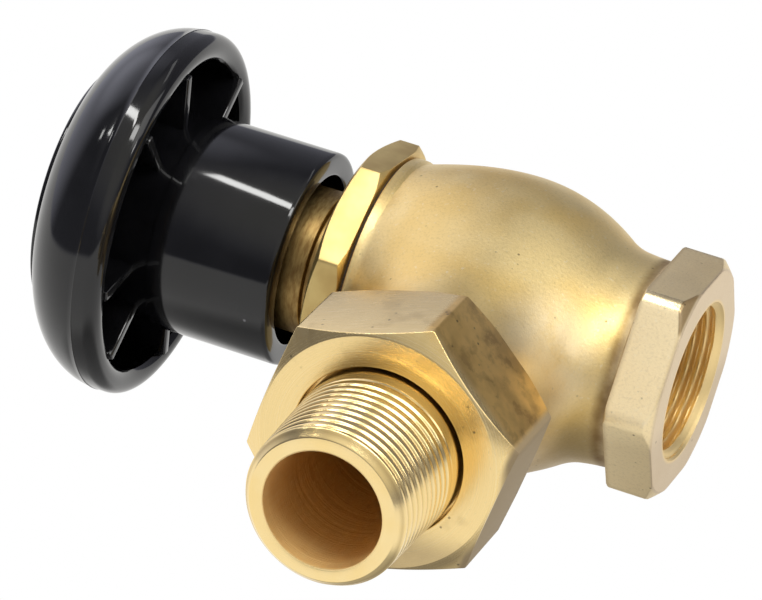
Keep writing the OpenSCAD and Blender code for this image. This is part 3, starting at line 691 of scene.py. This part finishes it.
def build_body(size, look):
    """The casting: skin, collar, inlet hexagon, union thread, waterway and inlet thread."""
    half = size.inlet_flats / 2
    hex_top = FACE_Z + size.inlet_height
    body = casting_skin(size)
    use_boolean(body, slab("trim", hex_top - 1.5, 20.4), "INTERSECT")
    thread_start, thread_end, pitch = 37.4, 46.0, 2.3
    shoulder, relief = thread_start - 1.4, 15.95
    use_boolean(body, turned("branch_end", [
        (0, -60), (60, -60), (60, shoulder - 0.3), (size.branch + 0.1, shoulder - 0.3),
        (size.branch - 0.3, shoulder), (0, shoulder)], "outlet", 176), "INTERSECT")

    # The flattened edges of the hexagon lean a little to one side
    tilt = math.radians(4.0)

    def hexagon(angle):
        off = (angle + math.pi / 6) % (math.pi / 3) - math.pi / 6
        bevel = size.inlet_flats / math.sqrt(3) - size.inlet_bevel * math.tan(math.pi / 6) / 2
        r = min(polygon_radius(angle, size.inlet_flats, 6, 0.5), bevel / math.cos(off + tilt))
        front, rear = min(half + 0.5, r - 0.12), min(half + 1.9, r - 0.12)
        return rounded([
            (0, FACE_Z), (front, FACE_Z, 0.3), (r, FACE_Z + (r - front) * 0.8, 0.5),
            (r, hex_top - (r - rear) * 0.56, 0.5), (rear, hex_top, 0.3), (0, hex_top)])

    use_boolean(body, swept("hexagon", hexagon, polygon_angles(6, 0.0)), "UNION")
    root = half - size.neck
    use_boolean(body, turned("root", [
        (0, hex_top - 0.8), (half - 0.1, hex_top - 0.8), (half - 0.1, hex_top - 0.02),
        *[(half - root * math.sin(t), hex_top + root - root * math.cos(t)) for t in np.linspace(0.1, 1.5, 7)],
        (size.neck - 0.4, hex_top + 2.0), (0, hex_top + 2.0)]), "UNION")
    use_boolean(body, turned("collar", [
        (0, 19.0), (size.collar - 0.7, 19.0), (size.collar - 0.1, 19.9, 0.3), (size.collar, 21.4, 0.25), (0, 21.4)]),
        "UNION")

    def union_thread(angle):
        rows = np.linspace(thread_start, thread_end - 0.7, 56)
        turn = angle / (2 * math.pi)
        side = []
        for h in rows:
            fade = min(1.0, (h - thread_start) / 1.2, (thread_end - h) / 1.0)
            side.append((16.55 - 1.0 * (1 - ridge(h / pitch - turn)) * max(fade, 0.0), h))
        return [(0, 30.0), (relief, 30.0), (relief, thread_start - 0.05), *side, (15.9, thread_end), (0, thread_end)]

    use_boolean(body, swept("union_thread", union_thread, round_angles(144), "outlet"), "UNION")

    mouth, crest, root = 1.3, size.inlet_crest, size.inlet_crest + 1.12
    pitch_in = size.thread_pitch

    def waterway(angle):
        start, end = FACE_Z + 0.4, FACE_Z + 14.0
        turn = angle / (2 * math.pi)
        side = []
        for h in np.linspace(start, end, 112):
            wall = crest + (root - crest) * (1 - ridge((h - FACE_Z) / pitch_in - turn, 0.14, 0.14))
            wall *= 1 - (h - start) / 16.0 / crest * 0.25
            opening = crest + mouth + 0.25 - (h - FACE_Z) * 1.05
            fade = min(1.0, (end - h) / 2.5)
            side.append((max(crest + (wall - crest) * fade, opening), h))
        floor_z, ring = -10.0, 9.5 + 2.2
        return [(0, FACE_Z - 2), (crest + mouth + 0.15, FACE_Z - 2), (crest + mouth + 0.15, FACE_Z), *side,
                (10.7, end + 1), (9.5, end + 2.4), (9.5, -8.4), (9.8, -8.0), (ring - 0.4, -8.0), (ring, -8.4),
                (ring, floor_z), (16.0, floor_z), (18.0, floor_z + 2), (18.0, 10.0), (17.06, 11.0),
                (17.06, 24.0), (0, 24.0)]

    use_boolean(body, swept("waterway", waterway, round_angles(160)), "DIFFERENCE")
    use_boolean(body, turned("passage", [
        (0, 0), (10.2, 0), (10.2, 43.6), (11.8, 43.6), (13.56, 46.0), (13.56, 48.0), (0, 48.0)], "outlet", 112),
        "DIFFERENCE")
    body.name = "body_casting"
    return finish_piece(body, "valve_body", material("cast", lambda: cast_brass(look)), ["body"], 30.0)


def build_bonnet(size, look):
    """Eight-sided bonnet with its neck, bead, groove and stuffing box."""
    foot, under, top = 12.8, 21.9, 27.3

    def outline(angle):
        r = polygon_radius(angle - math.radians(29.3), size.bonnet_flats, 8, 0.35)
        back, front = min(size.bonnet_flats / 2 + 0.6, r - 0.12), min(size.bonnet_flats / 2 - 0.5, r - 0.12)
        return rounded([
            (6.56, foot), (16.4, foot, 0.2), (17.0, foot + 0.6, 0.2), (17.0, under), (back, under, 0.12),
            (r, under + (r - back) * 0.577, 0.18), (r, top - (r - front) * 0.577, 0.22), (front, top, 0.25),
            (13.6, top, 0.35), (13.4, 28.7, 0.35), (11.5, 28.7, 0.2), (11.5, 30.9, 0.25), (12.4, 31.1, 0.3),
            (12.4, 44.0, 0.6), (8.0, 44.0, 0.3), (8.0, 33.0), (4.46, 33.0), (4.46, 31.0), (6.56, 31.0)])

    piece = swept("bonnet_turned", outline, polygon_angles(8, 29.3, 20))
    return finish_piece(piece, "valve_body", material("bonnet", lambda: bonnet_brass(look)),
                        ["bonnet"], 30.0)


def build_packing_nut(size, look):
    """Hexagon nut that presses on the stem's packing."""
    foot = 33.0 + 0.8 + 6.0 + 1.0

    def outline(angle):
        r = polygon_radius(angle, 20.0, 6, 0.3)
        front = min(9.7, r - 0.1)
        return rounded([
            (4.46, foot), (7.94, foot, 0.2), (7.94, 44.0), (r - 0.1, 44.0, 0.1), (r, 44.12, 0.1),
            (r, 49.0 - (r - front) * 0.577, 0.2), (front, 49.0, 0.2), (4.46, 49.0, 0.3)])

    piece = swept("packing_nut_milled", outline, polygon_angles(6, 0.0, 14))
    return finish_piece(piece, "valve_body", material("turned", lambda: turned_brass(look)),
                        ["packing_nut"], 30.0)


def build_union_nut(size, look):
    """Large hexagon nut with chamfered corners and an inner shoulder."""
    rear, front = NUT_LOW.x / MM, NUT_HIGH.x / MM
    shoulder, hole, inner = front - 4.8, size.tail_shank + 0.45, 16.61
    flat = size.nut_flats / 2

    def outline(angle):
        r = polygon_radius(angle - math.radians(76.5), size.nut_flats, 6, 0.4)
        back, face = min(flat + 0.4, r - 0.15), min(flat - 0.4, r - 0.15)
        return rounded([
            (inner, rear, 0.3), (back, rear, 0.2), (r, rear + (r - back) * 0.577, 0.25),
            (r, front - (r - face) * 0.577, 0.28), (face, front, 0.3), (hole, front, 0.3), (hole, shoulder),
            (inner, shoulder)])

    piece = swept("union_nut_milled", outline, polygon_angles(6, 76.5, 30), "outlet")
    return finish_piece(piece, "nut", material("milled", lambda: milled_brass(look)), ["union_nut"], 30.0)


def build_tailpiece(size, look):
    """Pipe tail with a tapered thread cut on it."""
    pitch, shank, bore = size.thread_pitch, size.tail_shank, size.tail_bore
    start, end, slope = 55.5, TAIL_END, 0.034
    ring, chamfer = bore + 2.3, 1.3

    def outline(angle):
        turn = angle / (2 * math.pi)
        side = []
        for h in np.linspace(start, end - 0.03, 170):
            taper = shank - (h - start) * slope
            deep = size.thread_depth * min(1.0, max((h - start - 0.4) / 3.5, 0.0))
            nose = ring + (end - h) * (taper - ring) / chamfer
            side.append((min(taper - deep * (1 - ridge(h / pitch - turn, 0.42, 0.05)), nose), h))
        return [(bore, 44.0), (11.4, 44.0), (13.16, 46.2), (15.6, 46.2), (15.9, 46.5), (15.9, 49.1), (15.8, 49.2),
                (shank, 49.2), *side, (ring - 0.1, end), (bore + 0.25, end), (bore + 0.07, end - 0.07),
                (bore, end - 0.25)]

    piece = swept("tailpiece_threaded", outline, round_angles(176), "outlet")
    return finish_piece(piece, "tail", material("tail", lambda: thread_brass(look)), ["tailpiece"], 40.0)


def build_handwheel(size, look):
    """Moulded handwheel: sleeve, web, rolled rim with its parting line, hub and ribs."""
    rim, seam, lip = size.wheel, 62.8, 2.4
    out, up = 15.3, 13.0
    shoulder = rim - out
    recess = size.cap + 0.6
    last = math.degrees(math.acos((recess - shoulder) / out))
    inner = rim - lip - lip * math.cos(math.radians(35))
    rolled = arc((shoulder, seam), out, 0.0, last, 34, up)
    fine = [(rim, 62.95), (rim, 63.12), (rim + 0.09, 63.22), (rim + 0.02, 63.32)]
    line = [rolled[0], *fine, *[p for p in rolled if p[1] > 63.7]]
    outline = [
        (size.sleeve_bore, 34.2, 0.5), (size.sleeve, 34.2, 0.9), (size.sleeve, 56.0, 0.3),
        (size.sleeve - 0.6, 56.2, 0.2), (size.sleeve - 0.6, 69.0, 1.3), (inner, 69.0, 2.6),
        *arc((rim - lip, seam - 1.5), lip, 215.0, 360.0, 18), *line[:-1], (recess, line[-1][1], 0.35),
        (recess, 72.0, 0.3), (6.0, 72.0), (6.0, 69.1), (2.4, 69.1), (2.4, 67.3), (5.6, 67.3), (5.6, 57.6), (4.8, 57.6),
        (4.8, 56.0), (9.0, 56.0, 0.5), (9.0, 69.0, 0.8), (size.sleeve_bore, 69.0, 0.8)]
    pieces = [turned("moulding", outline, steps=240)]
    for pair in range(4):
        for side in (-16.0, 16.0):
            turn = math.radians(-23.0 + 90.0 * pair + side)
            pieces.append(rounded_box("rib", (size.sleeve - 1.6, -size.rib / 2, 58.6),
                                      (inner + 0.6, size.rib / 2, 70.0), 0.3, turn))
    piece = joined("handwheel_moulded", pieces)
    return finish_piece(piece, "stem_wheel", material("plastic", lambda: black_plastic(look)),
                        ["handwheel"], 34.0)


def build_cap(size, look):
    """Domed cap in the front of the handwheel."""
    edge_z, rise, seat = 75.75, 2.0, 72.0
    ball = ((size.cap - 1) ** 2 + rise ** 2) / (2 * rise)
    half = math.asin((size.cap - 1) / ball)
    dome = [(ball * math.sin(t), edge_z + rise - ball + ball * math.cos(t)) for t in np.linspace(half, 0.0, 14)]
    under = [(max(0.0, (ball - 1.6) * math.sin(t)), edge_z + rise - ball + (ball - 1.6) * math.cos(t))
             for t in np.linspace(0.0, half * 0.9, 8)]
    outline = [(size.cap - 1.6, seat), (size.cap, seat), (size.cap, edge_z - 0.2, 0.9), *dome, *under]
    piece = turned("front_cap", outline, steps=200)
    return finish_piece(piece, "stem_wheel", material("plastic", lambda: black_plastic(look)),
                        ["handwheel_cap"], 34.0)


def dress_inner_pieces(size, look):
    """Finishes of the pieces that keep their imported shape."""
    brass = material("turned", lambda: turned_brass(look))
    steel = material("steel", lambda: plain_finish("screw_steel", (0.45, 0.45, 0.47), (0.62, 0.62, 0.64), 1.0,
                                                   0.25, 900.0, 0.00001))
    rubber = material("rubber", lambda: plain_finish("seat_rubber", (0.02, 0.02, 0.02), (0.045, 0.045, 0.045), 0.0,
                                                     0.6, 900.0, 0.00002))
    packing = material("packing", lambda: plain_finish("packing", (0.03, 0.03, 0.032), (0.08, 0.08, 0.085), 0.0,
                                                       0.5, 1400.0, 0.00004))
    sheet = material("sheet", lambda: plain_finish("gasket_sheet", (0.045, 0.035, 0.028), (0.09, 0.07, 0.055), 0.0,
                                                   0.7, 1200.0, 0.00003))
    chosen = {"bonnet_gasket": sheet, "seat_disc": rubber, "wheel_washer": steel, "wheel_screw": steel,
              "packing_ring_1": packing, "packing_ring_2": packing, "packing_ring_3": packing}
    for name, node in NODES.items():
        if node.hide_render:
            continue
        node.data.materials.clear()
        node.data.materials.append(chosen.get(name, brass))


# Stage


# The studio's own upright lies along the table's normal in the photograph, not along the valve's stem
TABLE_UP = Vector((0.016, 0.989, 0.146)).normalized()
TO_CAMERA = Vector((0.84518, 0.45565, -0.27938))
FRONT = (TO_CAMERA - TABLE_UP * TO_CAMERA.dot(TABLE_UP)).normalized()
SIDE = TABLE_UP.cross(FRONT)


def toward(around, height):
    """A direction in the studio: degrees round from the front and degrees above the table."""
    around, height = math.radians(around), math.radians(height)
    level = FRONT * math.cos(around) + SIDE * math.sin(around)
    return level * math.cos(height) + TABLE_UP * math.sin(height)


def soft_box(name, first, last, width, radiance):
    """A long lamp between two directions, aimed at the valve."""
    distance, target = 0.95, Vector((0.01, 0.0, (CENTRE + 15) * MM))
    first, last = toward(*first), toward(*last)
    way, along = (first + last).normalized(), (last - first).normalized()
    light = bpy.data.lights.new(name, "AREA")
    light.shape, light.size, light.size_y = "RECTANGLE", (last - first).length * distance, width * distance
    light.energy = radiance * math.pi * light.size * light.size_y
    light.color = (1.0, 1.0, 0.98)
    lamp = bpy.data.objects.new(name, light)
    across = way.cross(along)
    lamp.matrix_world = Matrix.Translation(target + way * distance) @ Matrix((along, across, way)).transposed().to_4x4()
    bpy.context.scene.collection.objects.link(lamp)


def build_stage():
    """Pale floor, studio surroundings, lamps and the camera."""
    scene = bpy.context.scene
    scene.view_settings.view_transform = "Standard"
    eye = Vector((0.75943, 0.40627, -0.22993 + CENTRE * MM))
    right = Vector((-0.37840936, 0.14097224, -0.91484052))
    down = Vector((0.37746512, -0.87892374, -0.29157015))
    forward = Vector((-0.84517835, -0.45565326, 0.27938087))
    lens = bpy.data.cameras.new("view")
    lens.sensor_width, lens.lens, lens.clip_start, lens.clip_end = 36.0, 5429.73 / 762 * 36.0, 0.05, 20.0
    camera = bpy.data.objects.new("view", lens)
    camera.matrix_world = Matrix((
        (right.x, -down.x, -forward.x, eye.x), (right.y, -down.y, -forward.y, eye.y),
        (right.z, -down.z, -forward.z, eye.z), (0, 0, 0, 1)))
    scene.collection.objects.link(camera)
    scene.camera = camera

    floor = bpy.data.meshes.new("floor")
    # The photograph's camera looks up from below the valve, so the floor lies under the camera and the lamps
    depth, reach = -1.05, 8.0
    floor.from_pydata([(-reach, -reach, depth), (reach, -reach, depth), (reach, reach, depth),
                       (-reach, reach, depth)], [], [(0, 1, 2, 3)])
    ground = bpy.data.objects.new("floor", floor)
    scene.collection.objects.link(ground)
    f = Finish("floor")
    matt = f.wire("ShaderNodeBsdfPrincipled", None, {"Base Color": (0.86, 0.86, 0.86), "Roughness": 0.7})
    unseen = f.wire("ShaderNodeBsdfTransparent")
    glossy = f.wire("ShaderNodeLightPath", output="Is Glossy Ray")
    mixed = f.wire("ShaderNodeMixShader", None, {0: glossy, 1: matt, 2: unseen})
    f.node("ShaderNodeOutputMaterial", None, {"Surface": mixed})
    floor.materials.append(f.material)

    world = bpy.data.worlds.new("studio")
    world.use_nodes = True
    scene.world = world
    f = Finish("studio", world.node_tree)
    way = f.wire("ShaderNodeTexCoord", output="Generated")

    def facing(direction):
        return f.wire("ShaderNodeVectorMath", {"operation": "DOT_PRODUCT"}, {0: way, 1: tuple(direction)}, "Value")

    up, behind = facing(TABLE_UP), facing(-FRONT)
    table = (up - behind.band(0.2, 1.0) * 0.185).band(-0.10, -0.16)
    left_wall = facing(toward(-140.0, 14.0)).band(0.72, 0.97) * 0.7
    right_wall = facing(toward(165.0, 15.0)).band(0.6, 0.97) * 0.12
    under_valve = up.band(-0.74, -0.9, 1.0, 0.4)
    ceiling = facing(toward(25.0, 52.0)).band(0.42, 0.9)
    glow_behind = facing(toward(-150.0, 46.0)).band(0.88, 0.99) * 0.7
    walls = left_wall + right_wall + glow_behind + 0.19
    wall = walls + ceiling * 0.5
    path = f.node("ShaderNodeLightPath")
    seen, glossy, clear = (Wire(f, path.outputs[key]) for key in
                           ("Is Camera Ray", "Is Glossy Ray", "Is Transmission Ray"))
    white = seen.maths("MAXIMUM", seen, clear)
    level = table * under_valve * (0.92 + glossy * 0.08) + (1.0 - table) * wall
    colour = f.blend(ceiling, (0.96, 0.97, 1.12), (1.0, 0.98, 0.92))
    colour = f.blend(table, colour, (1.0, 0.99, 0.97))
    colour = f.blend(white, colour, (1.0, 1.0, 1.0))
    shade = f.wire("ShaderNodeBackground", None, {"Color": colour, "Strength": white + (1.0 - white) * level})
    f.node("ShaderNodeOutputWorld", None, {"Surface": shade})

    soft_box("lamp_overhead", (-96.0, 74.0), (-12.0, 74.0), 0.09, 18.0)
    soft_box("lamp_overhead_end", (-88.0, 67.0), (-80.0, 55.0), 0.06, 14.0)
    soft_box("lamp_front", (8.0, 66.0), (52.0, 43.0), 0.17, 9.5)
    soft_box("lamp_right", (54.0, 42.0), (92.0, 14.0), 0.40, 1.5)
    soft_box("lamp_left", (-95.0, 50.0), (-89.0, 47.0), 0.05, 9.0)
    soft_box("lamp_low", (61.0, 20.0), (70.0, 17.0), 0.06, 8.0)
    soft_box("lamp_back", (104.0, 50.0), (150.0, 52.0), 0.12, 1.2)


# Operators


def settings():
    return bpy.context.scene.valve_sizes, bpy.context.scene.valve_finishes


class VALVE_OT_body(Operator):
    """Build the cast body"""

    bl_idname = "valve.body"
    bl_label = "Body"

    def execute(self, context):
        build_body(*settings())
        return {"FINISHED"}


class VALVE_OT_bonnet(Operator):
    """Build the bonnet and the packing nut on it"""

    bl_idname = "valve.bonnet"
    bl_label = "Bonnet"

    def execute(self, context):
        build_bonnet(*settings())
        build_packing_nut(*settings())
        return {"FINISHED"}


class VALVE_OT_union(Operator):
    """Build the union nut and the tailpiece"""

    bl_idname = "valve.union"
    bl_label = "Union"

    def execute(self, context):
        build_union_nut(*settings())
        build_tailpiece(*settings())
        return {"FINISHED"}


class VALVE_OT_handwheel(Operator):
    """Build the handwheel and its cap"""

    bl_idname = "valve.handwheel"
    bl_label = "Handwheel"

    def execute(self, context):
        build_handwheel(*settings())
        build_cap(*settings())
        return {"FINISHED"}


class VALVE_OT_inner_pieces(Operator):
    """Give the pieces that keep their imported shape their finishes"""

    bl_idname = "valve.inner_pieces"
    bl_label = "Inner pieces"

    def execute(self, context):
        dress_inner_pieces(*settings())
        return {"FINISHED"}


class VALVE_OT_stage(Operator):
    """Set up the floor, the surroundings, the lamps and the camera"""

    bl_idname = "valve.stage"
    bl_label = "Stage"

    def execute(self, context):
        build_stage()
        return {"FINISHED"}


class VALVE_PT_panel(Panel):
    """Lists the valve's pieces"""

    bl_idname = "VALVE_PT_panel"
    bl_label = "Union angle valve"
    bl_space_type = "VIEW_3D"
    bl_region_type = "UI"
    bl_category = "Valve"

    def draw(self, context):
        for operator in OPERATORS:
            self.layout.operator(operator.bl_idname)
        for group in (context.scene.valve_sizes, context.scene.valve_finishes):
            box = self.layout.box()
            for key in group.bl_rna.properties.keys():
                if key not in ("rna_type", "name"):
                    box.prop(group, key)


OPERATORS = (VALVE_OT_stage, VALVE_OT_body, VALVE_OT_bonnet, VALVE_OT_union, VALVE_OT_handwheel, VALVE_OT_inner_pieces)
CLASSES = (VALVE_PG_sizes, VALVE_PG_finishes, *OPERATORS, VALVE_PT_panel)


def register():
    for cls in CLASSES:
        bpy.utils.register_class(cls)
    bpy.types.Scene.valve_sizes = PointerProperty(type=VALVE_PG_sizes)
    bpy.types.Scene.valve_finishes = PointerProperty(type=VALVE_PG_finishes)


def unregister():
    del bpy.types.Scene.valve_finishes
    del bpy.types.Scene.valve_sizes
    for cls in reversed(CLASSES):
        bpy.utils.unregister_class(cls)


def main():
    register()
    bpy.ops.valve.stage()
    bpy.ops.valve.body()
    bpy.ops.valve.bonnet()
    bpy.ops.valve.union()
    bpy.ops.valve.handwheel()
    bpy.ops.valve.inner_pieces()


if __name__ == "__main__":
    main()
